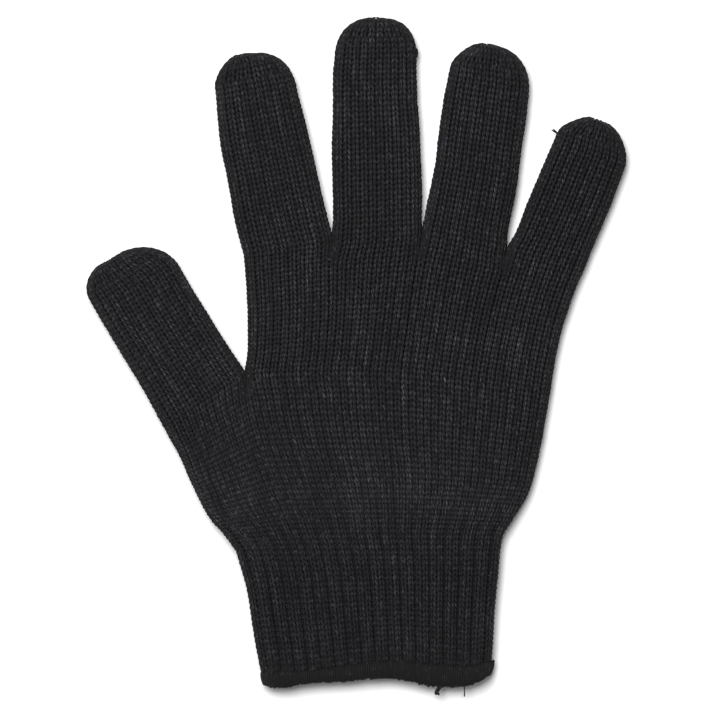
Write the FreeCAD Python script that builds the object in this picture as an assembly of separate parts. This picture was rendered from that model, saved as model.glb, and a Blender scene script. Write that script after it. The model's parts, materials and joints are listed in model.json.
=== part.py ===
"""Seamless knitted cut-resistant glove, lying flat on its back with the fingers towards +Y.

The glove is one hollow silhouette, 10 mm thick as it lies, with a wall of one ply of knit all round.
It is cut across where it folds: at every knuckle, at the wrist, and where the knitting changes.
+Z is up through the thickness, and the underside lies on z = 0.
All sizes are in millimetres. A lean is in degrees from +Y, positive towards +X.
"""
import FreeCAD, Part
import math
import os
from FreeCAD import Rotation, Vector

# Fabric, as the glove lies flat
THICKNESS = 10.0
MID_HEIGHT = THICKNESS / 2
WALL = 1.8                 # one ply of heavy-gauge knit
EDGE_ROUND = 4.6           # rounding of the folded edges, seen along a finger
CROTCH_ROUND = 0.5         # bottom of the V between two fingers

# Fingers: the top of the round end, lean, width there, and the radius of each corner of the end.
# knuckles are distances back from the tip; fold_lean turns the knuckle lines, so that curled fingers stay apart.
FINGERS = {
    "thumb": {"tip": (-85.9, 37.6), "lean": -30.3, "width": 34.5, "rounds": (12.5, 21.0),
              "knuckles": (49.0, 27.0), "fold_lean": -30.3},
    "index": {"tip": (-37.8, 107.5), "lean": -10.9, "width": 29.8, "rounds": (14.7, 14.7),
              "knuckles": (57.5, 34.5, 17.0), "fold_lean": -5.0},
    "middle": {"tip": (7.1, 120.0), "lean": -0.5, "width": 29.6, "rounds": (14.6, 14.6),
               "knuckles": (67.0, 43.0, 21.0), "fold_lean": 0.0},
    "ring": {"tip": (49.1, 110.7), "lean": 8.5, "width": 29.8, "rounds": (12.5, 17.0),
             "knuckles": (60.0, 38.0, 18.5), "fold_lean": 4.0},
    "little": {"tip": (87.9, 83.3), "lean": 22.0, "width": 27.8, "rounds": (13.7, 13.7),
               "knuckles": (40.5, 24.5, 11.5), "fold_lean": 12.0},
}

# Half the length of knit that folds at each knuckle, from the palm outwards
KNUCKLE_HALF = {
    "thumb": (4.6, 4.8),
    "finger": (5.2, 5.9, 3.5),
}
STRETCHES = {
    2: ("base", "tip"),
    3: ("base", "middle", "tip"),
}
KNUCKLES = {
    2: ("base_knuckle", "end_knuckle"),
    3: ("base_knuckle", "middle_knuckle", "end_knuckle"),
}

# Bottoms of the Vs between the fingers, and the lines between neighbours that start there
CROTCHES = {
    "thumb_index": (-39.4, -8.2),
    "index_middle": (-8.7, 39.5),
    "middle_ring": (23.6, 43.0),
    "ring_little": (54.9, 38.8),
}
GAP_TOPS = {
    "thumb_index": (-66.0, 70.0),
    "index_middle": (-15.5, 130.0),
    "middle_ring": (27.5, 130.0),
    "ring_little": (69.0, 130.0),
}
FAR_LEFT = -130.0
FAR_RIGHT = 130.0
FAR_UP = 130.0

# Sides of the palm, each a corner and the radius that rounds it
PALM_LEFT = [(-42.0, -72.0, 12.0), (-60.0, -43.4, 40.0)]
INDEX_LEFT = (-39.0, 28.0, 60.0)
PALM_RIGHT = [(79.5, 25.0, 40.0), (72.0, 0.0, 80.0), (63.5, -46.0, 30.0), (52.0, -71.0, 12.0)]

# Cuff: its centre line leans a little, and the hem is square to it
CUFF_LEAN = 176.1
CUFF_CUT_LEFT = (-30.4, -135.0, 9.0)     # past the hem, cut off afterwards
CUFF_CUT_RIGHT = (46.9, -135.0, 9.0)
WRIST_POINT = (4.6, -78.0)
WRIST_HALF = 5.2                         # half the length of ribbed knit that folds
HEM_START = 33.4                         # along the cuff from the wrist's fold
HEM_LENGTH = 5.9
HEM_WALL = 2.6                           # the overlocked edge is thicker, inwards
ELASTIC_COUNT = 9
ELASTIC_PITCH = 2.8
ELASTIC_THICK = 0.6
ELASTIC_GAP = 0.05
PALM_SPLIT_Y = -6.6                      # five-finger knitting below, four-finger knitting above

# Yarn ends: start on the glove's edge, direction as a lean, length, radius and height above the underside
TIP_TAILS = {
    "thumb": ((-66.6, 36.6), 48.0, 3.0, 0.7, MID_HEIGHT),
    "middle": ((20.0, 108.0), 80.0, 4.4, 0.7, MID_HEIGHT),
    "little": ((71.6, 78.0), -48.0, 4.4, 0.5, MID_HEIGHT),
}
HEM_ENDS = [
    ((28.9, -112.0), 187.0, 7.4, 1.2, 8.7),
    ((37.8, -112.0), 180.0, 7.9, 0.4, 8.7),
    ((46.4, -110.4), 75.0, 4.0, 0.6, MID_HEIGHT),
]

BIG = 400.0


def direction(lean):
    """The unit vector in the plane that leans so many degrees from +Y towards +X."""
    angle = math.radians(lean)
    return Vector(math.sin(angle), math.cos(angle), 0)


def flat(point):
    """A point in the plane as a vector at height 0."""
    return Vector(point[0], point[1], 0)


def rounded_outline(corners):
    """A closed wire through the corners, each an x, a y and the radius that rounds it."""
    points = [flat(corner) for corner in corners]
    edges = []
    ends = []
    for number, corner in enumerate(corners):
        here = points[number]
        back = (points[number - 1] - here).normalize()
        onward = (points[(number + 1) % len(points)] - here).normalize()
        half_angle = back.getAngle(onward) / 2
        reach = corner[2] / math.tan(half_angle)
        first = here + back * reach
        last = here + onward * reach
        bisector = (back + onward).normalize()
        middle = here + bisector * (corner[2] / math.sin(half_angle) - corner[2])
        ends.append((first, middle, last))
    for number, (first, middle, last) in enumerate(ends):
        previous = ends[number - 1][2]
        edges.append(Part.LineSegment(previous, first).toShape())
        edges.append(Part.Arc(first, middle, last).toShape())
    return Part.Wire(edges)


def tip_corners(finger):
    """The two corners of a finger's end, left and right, before they are rounded."""
    across = direction(finger["lean"] + 90)
    tip = flat(finger["tip"])
    left = tip - across * (finger["width"] / 2)
    right = tip + across * (finger["width"] / 2)
    return [(left.x, left.y, finger["rounds"][0]), (right.x, right.y, finger["rounds"][1])]


def glove_corners():
    """The silhouette's corners, up the thumb side, over the fingers and down the other side."""
    corners = [CUFF_CUT_LEFT] + PALM_LEFT
    corners += tip_corners(FINGERS["thumb"])
    corners.append(CROTCHES["thumb_index"] + (CROTCH_ROUND,))
    corners.append(INDEX_LEFT)
    corners += tip_corners(FINGERS["index"])
    corners.append(CROTCHES["index_middle"] + (CROTCH_ROUND,))
    corners += tip_corners(FINGERS["middle"])
    corners.append(CROTCHES["middle_ring"] + (CROTCH_ROUND,))
    corners += tip_corners(FINGERS["ring"])
    corners.append(CROTCHES["ring_little"] + (CROTCH_ROUND,))
    corners += tip_corners(FINGERS["little"])
    return corners + PALM_RIGHT + [CUFF_CUT_RIGHT]


def silhouette_solid(inset):
    """The glove's silhouette as a rounded slab, made smaller all round by the inset."""
    outline = rounded_outline(glove_corners())
    if inset > 0:
        outline = outline.makeOffset2D(-inset)
    height = THICKNESS - 2 * inset
    slab = Part.Face(outline).extrude(Vector(0, 0, height))
    rims = [edge for edge in slab.Edges if abs(edge.BoundBox.ZMax - edge.BoundBox.ZMin) < 0.01]
    rounded = slab.makeFillet(EDGE_ROUND - inset, rims)
    rounded.translate(Vector(0, 0, inset))
    return rounded


def slab_between(point, lean, start, end):
    """Everything from start to end along a lean, counted from a point."""
    box = Part.makeBox(BIG, end - start, BIG, Vector(-BIG / 2, start, -BIG / 2))
    box.Placement = FreeCAD.Placement(flat(point), Rotation(Vector(0, 0, 1), -lean))
    return box


def prism(points):
    """A tall prism over a polygon in the plane."""
    corners = [Vector(x, y, -BIG / 2) for x, y in points]
    wire = Part.makePolygon(corners + corners[:1])
    return Part.Face(wire).extrude(Vector(0, 0, BIG))


def finger_plots():
    """The part of the plane that belongs to each finger, between the lines through the crotches."""
    thumb = CROTCHES["thumb_index"]
    low = thumb[1] + 20
    step = (low - thumb[1]) / (GAP_TOPS["thumb_index"][1] - thumb[1])
    beside_index = (thumb[0] + step * (GAP_TOPS["thumb_index"][0] - thumb[0]), low)
    plots = {
        "thumb": [(FAR_LEFT, -60), thumb, GAP_TOPS["thumb_index"], (FAR_LEFT, FAR_UP)],
        "index": [beside_index, GAP_TOPS["thumb_index"], (-66.0, FAR_UP),
                  GAP_TOPS["index_middle"], CROTCHES["index_middle"]],
    }
    pairs = [("middle", "index_middle", "middle_ring"), ("ring", "middle_ring", "ring_little")]
    for name, left, right in pairs:
        plots[name] = [CROTCHES[left], GAP_TOPS[left], GAP_TOPS[right], CROTCHES[right]]
    plots["little"] = [CROTCHES["ring_little"], GAP_TOPS["ring_little"], (FAR_RIGHT, FAR_UP), (FAR_RIGHT, 0)]
    return plots


def knuckle_point(finger, number):
    """The middle of a knuckle's fold line, on the finger's centre line."""
    back = direction(finger["lean"]) * finger["knuckles"][number]
    return flat(finger["tip"]) - back


def knuckle_halves(name):
    """Half the folding length of each of a finger's knuckles."""
    return KNUCKLE_HALF["thumb" if name == "thumb" else "finger"]


def only_solid(shape):
    """The one solid of a shape, or a stop if the cuts left another number."""
    if len(shape.Solids) != 1:
        raise ValueError("expected one solid, found %d" % len(shape.Solids))
    return shape.Solids[0]


def finger_pieces(name, whole):
    """A finger's tube cut at its knuckles: each knuckle's folding knit and each stretch beyond it."""
    finger = FINGERS[name]
    lean = finger["fold_lean"]
    halves = knuckle_halves(name)
    count = len(halves)
    pieces = {}
    for number in range(count):
        here = knuckle_point(finger, number)
        half = halves[number]
        knuckle = whole.common(slab_between(here, lean, -half, half))
        pieces[name + "_" + KNUCKLES[count][number]] = only_solid(knuckle)
        stretch = whole.common(slab_between(here, lean, half, BIG))
        if number + 1 < count:
            beyond = knuckle_point(finger, number + 1)
            stretch = stretch.common(slab_between(beyond, lean, -BIG, -halves[number + 1]))
        pieces[name + "_" + STRETCHES[count][number]] = only_solid(stretch)
    return pieces


def palm_pieces(shell, plots):
    """What is left of the shell above the wrist once the fingers are cut off, split at the thumb's crotch."""
    palm = shell.common(slab_between(WRIST_POINT, CUFF_LEAN, -BIG, -WRIST_HALF))
    for name, finger in FINGERS.items():
        beyond = slab_between(knuckle_point(finger, 0), finger["fold_lean"], -knuckle_halves(name)[0], BIG)
        palm = palm.cut(beyond.common(prism(plots[name])))
    thumb = CROTCHES["thumb_index"]
    upper = prism([(thumb[0], PALM_SPLIT_Y), GAP_TOPS["thumb_index"], (-66.0, FAR_UP),
                   (FAR_RIGHT, FAR_UP), (FAR_RIGHT, PALM_SPLIT_Y)])
    return {"palm_upper": only_solid(palm.common(upper)), "palm_lower": only_solid(palm.cut(upper))}


def cuff_pieces(outer, inner):
    """The wrist's folding knit, the ribbed cuff and its thicker overlocked hem."""
    shell = outer.cut(inner)
    hem_end = HEM_START + HEM_LENGTH
    hem_shell = outer.cut(silhouette_solid(HEM_WALL))
    wrist = shell.common(slab_between(WRIST_POINT, CUFF_LEAN, -WRIST_HALF, WRIST_HALF))
    rib = shell.common(slab_between(WRIST_POINT, CUFF_LEAN, WRIST_HALF, HEM_START))
    hem = hem_shell.common(slab_between(WRIST_POINT, CUFF_LEAN, HEM_START, hem_end))
    return {"wrist_knit": only_solid(wrist), "cuff_rib": only_solid(rib), "cuff_hem": only_solid(hem)}


def elastic_threads():
    """Rings of elastic thread against the inside of the ribbed cuff, one every few courses."""
    start = WALL + ELASTIC_GAP
    tube = silhouette_solid(start).cut(silhouette_solid(start + ELASTIC_THICK))
    rings = []
    for number in range(ELASTIC_COUNT):
        place = WRIST_HALF + ELASTIC_PITCH * (number + 0.5)
        ring = tube.common(slab_between(WRIST_POINT, CUFF_LEAN, place, place + ELASTIC_THICK))
        rings.append(only_solid(ring))
    return Part.makeCompound(rings)


def yarn_end(start, lean, length, radius, height, outer):
    """A short end of yarn that sticks out of the glove's edge."""
    base = Vector(start[0], start[1], height)
    along = direction(lean)
    stem = Part.makeCylinder(radius, length - radius, base, along)
    end = Part.makeSphere(radius, base + along * (length - radius))
    return only_solid(stem.fuse(end).removeSplitter().cut(outer))


def yarn_ends(outer):
    """The closing tails at three fingertips and the three yarn ends at the hem."""
    pieces = {}
    for name, tail in TIP_TAILS.items():
        pieces[name + "_tip_tail"] = yarn_end(*tail, outer)
    beyond_hem = slab_between(WRIST_POINT, CUFF_LEAN, HEM_START + HEM_LENGTH, BIG)
    glove = outer.cut(beyond_hem)
    ends = [yarn_end(*end, glove) for end in HEM_ENDS]
    pieces["hem_yarn_ends"] = Part.makeCompound(ends)
    return pieces


def build():
    """Every node's shape by name."""
    outer = silhouette_solid(0)
    inner = silhouette_solid(WALL)
    shell = outer.cut(inner)
    plots = finger_plots()
    nodes = palm_pieces(shell, plots)
    nodes.update(cuff_pieces(outer, inner))
    nodes["cuff_elastic"] = elastic_threads()
    for name in FINGERS:
        nodes.update(finger_pieces(name, shell.common(prism(plots[name]))))
    nodes.update(yarn_ends(outer))
    return nodes


def main():
    os.makedirs("parts", exist_ok=True)
    for name, shape in build().items():
        if not shape.isValid():
            raise ValueError(name + " is not a valid shape")
        shape.exportStep("parts/" + name + ".step")
        box = shape.BoundBox
        print("%-24s %8.0f mm3  x %.1f..%.1f  y %.1f..%.1f  z %.1f..%.1f" % (
            name, shape.Volume, box.XMin, box.XMax, box.YMin, box.YMax, box.ZMin, box.ZMax))


if __name__ == "__main__":
    main()
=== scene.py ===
# %% [markdown]
# A knitted cut-resistant glove. A work glove like this one comes off the
# machine whole: five small tubes are knitted from the fingertips down, joined
# into one wide tube for the palm, and drawn in to a ribbed cuff. So the glove
# here is built in the same way, as one tube of yarn after another, laid around
# a flattened hand shape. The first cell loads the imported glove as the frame.

# %% Load the frame
import json
import math

import bpy
import numpy as np
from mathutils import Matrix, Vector

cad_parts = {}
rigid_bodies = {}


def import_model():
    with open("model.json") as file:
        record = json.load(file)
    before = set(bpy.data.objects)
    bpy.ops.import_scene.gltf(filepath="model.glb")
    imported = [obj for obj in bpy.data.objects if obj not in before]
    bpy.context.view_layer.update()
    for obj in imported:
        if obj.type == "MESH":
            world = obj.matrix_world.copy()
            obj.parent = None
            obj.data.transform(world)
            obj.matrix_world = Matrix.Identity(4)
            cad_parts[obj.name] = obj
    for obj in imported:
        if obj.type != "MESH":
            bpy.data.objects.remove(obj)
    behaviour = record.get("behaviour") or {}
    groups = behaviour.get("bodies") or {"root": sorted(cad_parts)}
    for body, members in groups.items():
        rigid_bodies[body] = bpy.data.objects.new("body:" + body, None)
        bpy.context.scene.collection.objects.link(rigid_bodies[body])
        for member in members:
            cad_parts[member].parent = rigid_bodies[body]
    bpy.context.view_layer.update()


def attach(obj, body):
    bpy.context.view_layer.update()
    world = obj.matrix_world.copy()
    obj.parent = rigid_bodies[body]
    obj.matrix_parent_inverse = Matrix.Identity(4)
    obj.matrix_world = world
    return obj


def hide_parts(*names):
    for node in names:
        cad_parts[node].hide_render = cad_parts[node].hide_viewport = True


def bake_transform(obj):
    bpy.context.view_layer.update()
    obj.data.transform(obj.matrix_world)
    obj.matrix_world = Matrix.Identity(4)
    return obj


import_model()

for thing in bpy.context.view_layer.objects:
    thing.select_set(False)

# %% [markdown]
# A flat glove is looked at from straight above, from far away through a long
# lens, so that its outline is not bent by perspective. The camera comes first,
# because everything else is judged through it.

# %% Camera
VIEW_WIDTH = 0.25355        # metres of table that the view takes in
VIEW_CENTRE = (-0.0002, -0.0016)
VIEW_DISTANCE = 1.8         # metres, so far that the view is nearly parallel
MID_HEIGHT = 0.005          # metres; the widest outline lies at half the thickness
SENSOR_WIDTH = 36           # mm

camera_data = bpy.data.cameras.new("camera")
camera_data.sensor_fit = "HORIZONTAL"
camera_data.sensor_width = SENSOR_WIDTH
camera_data.lens = SENSOR_WIDTH * VIEW_DISTANCE / VIEW_WIDTH
camera_data.clip_end = 20
camera = bpy.data.objects.new("camera", camera_data)
camera.location = (*VIEW_CENTRE, MID_HEIGHT + VIEW_DISTANCE)
bpy.context.collection.objects.link(camera)
bpy.context.scene.camera = camera
print("lens, mm:", round(camera_data.lens, 1))

# %% [markdown]
# The glove lies on a plain floor. It is nearly white and matt, so that it
# neither mirrors the glove nor tints it, and the plain view transform keeps it
# clean.

# %% Floor
bpy.context.scene.view_settings.view_transform = "Standard"

bpy.ops.mesh.primitive_plane_add(size=12, location=(0, 0, -0.0001))
floor = bpy.context.object
floor.name = "floor"
floor_finish = bpy.data.materials.new("floor_finish")
floor_finish.use_nodes = True
floor_shader = floor_finish.node_tree.nodes["Principled BSDF"]
floor_shader.inputs["Base Color"].default_value = (0.86, 0.86, 0.86, 1)
floor_shader.inputs["Roughness"].default_value = 0.9
floor_shader.inputs["Specular IOR Level"].default_value = 0.1
floor.data.materials.append(floor_finish)
floor.select_set(False)
print("floor finish:", floor_finish.name)

# %% [markdown]
# Black yarn is hard to light: its stitches only show when light rakes across
# them. A bright white surround gives the soft even light of a studio tent, and
# one large softbox near the fingertips gives each stitch a light side and a dark
# side.

# %% Studio light
SURROUND_STRENGTH = 0.28

world = bpy.data.worlds.new("studio")
world.use_nodes = True
surround = world.node_tree.nodes["Background"]
surround.inputs["Color"].default_value = (1, 1, 1, 1)
surround.inputs["Strength"].default_value = SURROUND_STRENGTH
bpy.context.scene.world = world


def softbox(name, place, size, power):
    """A square soft light that faces the middle of the glove."""
    data = bpy.data.lights.new(name, "AREA")
    data.size, data.energy = size, power
    lamp = bpy.data.objects.new(name, data)
    lamp.location = place
    lamp.rotation_euler = (-Vector(place)).to_track_quat("-Z", "Y").to_euler()
    bpy.context.collection.objects.link(lamp)
    return lamp


high_light = softbox("softbox_high", (-0.25, 0.45, 1.5), size=0.8, power=35.5)
print("lights: the surround and", high_light.name)

# %% [markdown]
# The sizes that shape the glove. Lengths are in millimetres, because glove
# makers measure in them, and they are turned into metres only when a mesh is
# made. Lying flat, the glove is two faces of knitting with the yarn rolling over
# from one to the other at the edges. The middle of the yarn lies a little inside
# the outline, because half the yarn's thickness stands out past it.

# %% Thickness of the glove
MM = 0.001
MIDDLE = 5.0                # height of the plane between the two faces
HALF = 4.0                  # from that plane up to the middle of the yarn
INSET = 0.50                # from the outline in to the middle of the yarn
print("from face to face, mm:", 2 * HALF)

# %% [markdown]
# Each finger is described along its own middle line, which starts at the tip
# and leans some degrees from straight up. One side of it has three sizes. The
# first is how big its corner is at the tip, and the second how full that corner
# is: 2 is round, less is more pointed and more is squarer. Then come pairs that
# say how far the outline lies from the middle line, so many millimetres back
# from the tip. Rows and columns count the stitches of one face.

# %% Sizes of the fingers
FINGERS = {
    "thumb": dict(
        tip=(-84.7, 35.6), lean=-30.3, rows=34, columns=14,
        left=(8.6, 1.7, ((8.6, 17.3), (18, 17.6), (33, 17.3), (50, 17.1), (62, 17.3))),
        right=(14.8, 1.8, ((14.8, 16.7), (25, 16.6), (40, 17.1), (60, 17.7)))),
    "index": dict(
        tip=(-37.8, 107.4), lean=-10.9, rows=39, columns=12,
        left=(9.6, 1.4, ((9.6, 14.8), (20, 16.0), (30, 16.6), (45, 16.6), (55, 16.9), (71, 16.4))),
        right=(16.5, 2.4, ((16.5, 14.2), (25, 14.7), (40, 15.3), (55, 15.9), (70, 16.3)))),
    "middle": dict(
        tip=(7.1, 120.0), lean=-0.5, rows=43, columns=12,
        left=(13.7, 2.1, ((13.7, 14.9), (20, 15.6), (30, 15.9), (45, 16.2), (60, 16.3),
                          (78, 15.9))),
        right=(13.3, 2.2, ((13.3, 14.4), (20, 14.5), (30, 14.6), (40, 15.4), (55, 16.0),
                           (75, 15.7)))),
    "ring": dict(
        tip=(49.0, 110.2), lean=8.5, rows=38, columns=12,
        left=(10.0, 1.5, ((10.0, 14.3), (20, 14.8), (35, 14.8), (45, 14.5), (55, 14.9),
                          (66, 15.3))),
        right=(16.5, 2.2, ((16.5, 15.3), (25, 15.6), (45, 15.9), (55, 15.7), (68, 15.1)))),
    "little": dict(
        tip=(87.7, 82.8), lean=22, rows=30, columns=11,
        left=(8.5, 1.3, ((8.5, 13.3), (20, 13.8), (35, 13.8), (50, 14.1))),
        right=(11.9, 1.6, ((11.9, 14.0), (25, 14.2), (40, 13.9), (55, 13.8)))),
}
print("fingers:", ", ".join(FINGERS))

# %% [markdown]
# The palm and the cuff are outlined by points that run up their left and right
# edges. The palm has a lower half, from the wrist to the thumb's crotch, and an
# upper half, from there to the finger roots. The hem has a line of points along
# its top and one along its foot, because that band waves.

# %% Outline of the palm, the cuff and the hem
CROTCHES = {"thumb_index": (-39.5, -7.2), "index_middle": (-8.4, 40.0),
            "middle_ring": (23.4, 42.3), "ring_little": (53.5, 36.7)}
PALM_LEFT_LOW = ((-42.8, -70.1), (-47.1, -64.7), (-52.1, -59.4), (-57.8, -48.7),
                 (-62.4, -38.0), (-68.5, -26.4))
PALM_RIGHT_LOW = ((51.8, -70.1), (53.1, -64.7), (56.3, -59.4), (62.0, -48.7),
                  (65.4, -35.0), (68.4, -20.0), (69.2, -15.0))
PALM_LEFT_HIGH = ((-39.5, -7.2), (-38.9, 2.0), (-38.6, 14.0), (-39.5, 26.0), (-40.4, 35.2))
PALM_RIGHT_HIGH = ((69.2, -15.0), (70.4, -7.0), (72.0, 1.0), (74.2, 10.2), (77.7, 20.9),
                   (81.9, 30.5))
CUFF_LEFT = ((-34.2, -113.4), (-35.6, -105.0), (-37.5, -94.0), (-39.2, -84.0), (-42.8, -70.1))
CUFF_RIGHT = ((48.4, -109.4), (48.9, -102.0), (49.6, -91.0), (50.6, -80.0), (51.8, -70.1))
HEM_TOP = ((-34.2, -113.4), (-18.0, -112.8), (0.0, -110.6), (14.0, -109.4), (30.0, -110.6),
           (40.0, -111.2), (48.4, -109.4))
HEM_FOOT = ((-33.0, -118.1), (-29.5, -118.8), (-17.0, -117.4), (-6.0, -116.8), (8.0, -115.5),
            (15.0, -115.8), (24.0, -117.9), (31.5, -118.6), (39.0, -118.3), (44.5, -116.2),
            (47.6, -114.6))
print("palm width beside the thumb's crotch, mm:",
      round(PALM_RIGHT_LOW[-1][0] - PALM_LEFT_HIGH[0][0], 1))

# %% [markdown]
# A smooth line through a few measured points is all that the outline needs.
# The line here is the usual one that passes through its points with the
# direction of each point's two neighbours, and runs on straight past its ends.

# %% Smooth lines through points


def through(points, t):
    """Places on the smooth line through the points, with t from 0 to 1 along it."""
    p = np.asarray(points, float)
    gaps = np.linalg.norm(np.diff(p, axis=0), axis=1)
    knots = np.concatenate([[0], np.cumsum(gaps)]) / gaps.sum()
    slope = np.gradient(p, knots, axis=0)
    t = np.asarray(t, float)
    i = np.clip(np.searchsorted(knots, t, side="right") - 1, 0, len(p) - 2)
    width = knots[i + 1] - knots[i]
    f = np.clip((t - knots[i]) / width, 0, 1)[..., None]
    w = width[..., None]
    line = ((1 + 2 * f) * (1 - f) ** 2 * p[i] + f * (1 - f) ** 2 * w * slope[i]
            + f * f * (3 - 2 * f) * p[i + 1] + f * f * (f - 1) * w * slope[i + 1])
    before, after = np.minimum(t, 0)[..., None], np.maximum(t - 1, 0)[..., None]
    return line + slope[0] * before + slope[-1] * after


def ease(t):
    """A smooth step from 0 to 1."""
    t = np.clip(t, 0, 1)
    return t * t * (3 - 2 * t)


print("half-way up the cuff's left edge, mm:", through(CUFF_LEFT, 0.5).round(1))

# %% [markdown]
# The middle of the yarn runs along inside the outline, and pulled_in() moves an
# edge line in to it. At the thumb's crotch two outlines share one point, so
# start is 0 there, and the inset grows from nothing over the first few
# millimetres. Looked at from the end of a finger, the yarn rolls up from the
# edge, runs flat over the face and rolls down again. That path is rolled().

# %% From the outline to the yarn
BLEND_RUN = 8               # mm over which one outline runs over into another
SMALL_STEP = 1e-4           # share of a line, to find the direction it runs in


def pulled_in(points, side, start=1.0):
    """An outline moved in by the inset: side is 1 where inside is to its right going up."""
    length = np.linalg.norm(np.diff(points, axis=0), axis=1).sum()

    def line(t):
        t = np.asarray(t, float)
        run = through(points, t + SMALL_STEP) - through(points, t - SMALL_STEP)
        run /= np.linalg.norm(run, axis=-1, keepdims=True)
        inward = side * np.stack([run[..., 1], -run[..., 0]], -1)
        depth = INSET * (start + (1 - start) * ease(t * length / BLEND_RUN))
        return through(points, t) + inward * depth[..., None]
    return line


def rolled(s, total, b):
    """Across one face: how far in from the edge, and how high, at the length s along the yarn."""
    quarter = b * math.pi / 2
    near, far = np.clip(s, -quarter, quarter), np.clip(total - s, -quarter, quarter)
    flat = np.clip(s - quarter, 0, total - 2 * quarter)
    across = b * (1 - np.cos(near / b)) + flat + (b - b * (1 - np.cos(far / b)))
    height = b * np.minimum(np.sin(near / b), np.sin(far / b))
    return across, height


QUARTER = HALF * math.pi / 2        # the yarn's length from the edge up to the flat of a face
SIDE_ROLL = HALF * (math.pi - 2)    # what rolling over both edges adds to a face's width
print("yarn that rolls over the two edges, mm:", round(SIDE_ROLL, 2))

# %% [markdown]
# One finger is a flattened tube. Going up it, its two sides follow the outline.
# Each side ends in a corner at the tip, and a stretched circle draws it round,
# pointed or square, as the real fingertip has it.

# %% The sides of a finger


def along(lean):
    """The direction that leans this many degrees to the right of straight up."""
    a = math.radians(lean)
    return np.array([math.sin(a), math.cos(a)])


def half_width(side, back):
    """From a finger's middle line to the middle of the yarn, this far back from the tip."""
    radius, fullness, widths = side
    w = np.array(widths, float)
    inner = radius - INSET
    bulge = inner ** fullness - (inner - np.clip(back, 0, inner)) ** fullness
    corner = w[0, 1] - radius + np.maximum(bulge, 0) ** (1 / fullness)
    straight = np.interp(back + INSET, w[:, 0], w[:, 1]) - INSET
    return np.where(back < inner, corner, straight)


print("index finger, mm to its left side at 5 and 30 mm back:",
      half_width(FINGERS["index"]["left"], np.array([5.0, 30.0])).round(1))

# %% [markdown]
# Everything that the knitting needs to know about one finger is kept together
# as its region. At the tip the tube turns over a rounded end, so rows are
# counted past it and back down. A column of stitches and a row of stitches are
# enough to name any place on it. Round the fingertip the machine draws the last
# stitches in, which makes a tight rim that is coloured darker, and it drops some
# columns there, because the tip is narrower.

# %% The surface of a finger
LEAST_ROLL = 0.35           # mm, so that the tube never closes to a knife edge
MOST_ROLL = 0.49            # share of the width, so that the two edges' rolls never meet
SPARE_STITCH = 0.3          # a pair is dropped only when the row is this much too wide
RIM_LENGTH, RIM_FADE = 17, 9        # mm back from the tip that the rim reaches, and its fading
RIM_WIDTH, RIM_DEPTH = 6.5, 3.4     # mm from the side and from the tip


def finger_region(name, base_left, base_right):
    """The region of one finger, which ends at two points of the palm."""
    f = FINGERS[name]
    d = along(f["lean"])
    p = np.array([d[1], -d[0]])
    tip = np.array(f["tip"]) - d * INSET
    n, rows = f["columns"], f["rows"]
    ends = []
    for base, side, sign in ((base_left, f["left"], -1), (base_right, f["right"], 1)):
        reach = -(np.asarray(base) - tip) @ d
        wide = sign * ((np.asarray(base) - tip) @ p)
        ends.append((reach, wide - half_width(side, reach), side, sign))
    middle_reach = (ends[0][0] + ends[1][0]) / 2
    pitch = (middle_reach + QUARTER - HALF) / rows

    def section(r):
        """The two side points, the width, the roll and the face (1 is up) at a row."""
        back = (rows - r) * pitch
        turn = np.clip(back / HALF, -math.pi / 2, math.pi / 2)
        reach = HALF * (1 - np.cos(turn)) + np.maximum(np.abs(back) - QUARTER, 0)
        sides = []
        for base_reach, spare, side, sign in ends:
            here = reach * base_reach / middle_reach
            wide = half_width(side, here) + spare * (1 - ease((base_reach - here) / BLEND_RUN))
            sides.append(tip - d * here[..., None] + sign * p * wide[..., None])
        width = np.linalg.norm(sides[1] - sides[0], axis=-1)
        b = np.minimum(np.maximum(HALF * np.abs(np.sin(turn)), LEAST_ROLL), width * MOST_ROLL)
        return sides, width, b, np.sign(back + 1e-9)

    def surface(x, r, count):
        """The place of column x in row r, which has this many stitches, in mm."""
        sides, width, b, up = section(r)
        total = width + (math.pi - 2) * b
        across, height = rolled(x / count * total, total, b)
        plan = sides[0] + (sides[1] - sides[0]) * (across / width)[..., None]
        return np.concatenate([plan, (MIDDLE + up * height)[..., None]], -1)

    def rim(share, r):
        """1 on the drawn-in stitches round the fingertip's edge."""
        _, width, _, _ = section(r)
        near = np.minimum(share, 1 - share) * (width + SIDE_ROLL)
        back = np.abs(rows - r) * pitch
        beside = ease((RIM_LENGTH - back) / RIM_FADE) * np.exp(-(near / RIM_WIDTH) ** 2)
        return np.maximum(beside, np.exp(-(back / RIM_DEPTH) ** 2))

    _, width, _, _ = section(np.array([rows / 2]))
    stitch = (width[0] + SIDE_ROLL) / n

    def count(row):
        """The stitches in a row: pairs are dropped where the tip gets narrower."""
        _, w, b, _ = section(np.array([row + 0.5]))
        fits = (w[0] + (math.pi - 2) * b[0]) / stitch
        pairs = int(round(max(n - fits - SPARE_STITCH, 0) / 2))
        return n - 2 * pairs if row > rows / 2 else n

    return dict(surface=surface, rows=rows, columns=n, count=count, pitch=pitch, rim=rim,
                direction=d, rib=lambda r: 0 * r, grown=np.arange(n + 1.0))


print("the fingertips' rim reaches back, mm:", RIM_LENGTH)

# %% [markdown]
# The palm and the cuff are wider patches of the same kind. Each has a left and
# a right edge line, a bottom line and a top line, and a place on it is found by
# sliding the bottom line up to the top one. Where fingers leave the palm, its
# last few rows of stitches divide: they dip to the middle height at each
# crotch, so that each finger's tube can close on itself.
#
# Two more values keep the columns from bending sharply where two patches meet.
# sway says how much they lean at the bottom row and at the top row: 1 is as the
# corners ask, and 0 lets them run straight on into the next patch. left_fade is
# how far across the left edge's own bend is felt, because the thumb bends away
# and the palm beside it doesn't. A few columns are new: the machine adds them
# in front of a crotch, and grown counts them in as they widen.

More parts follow.
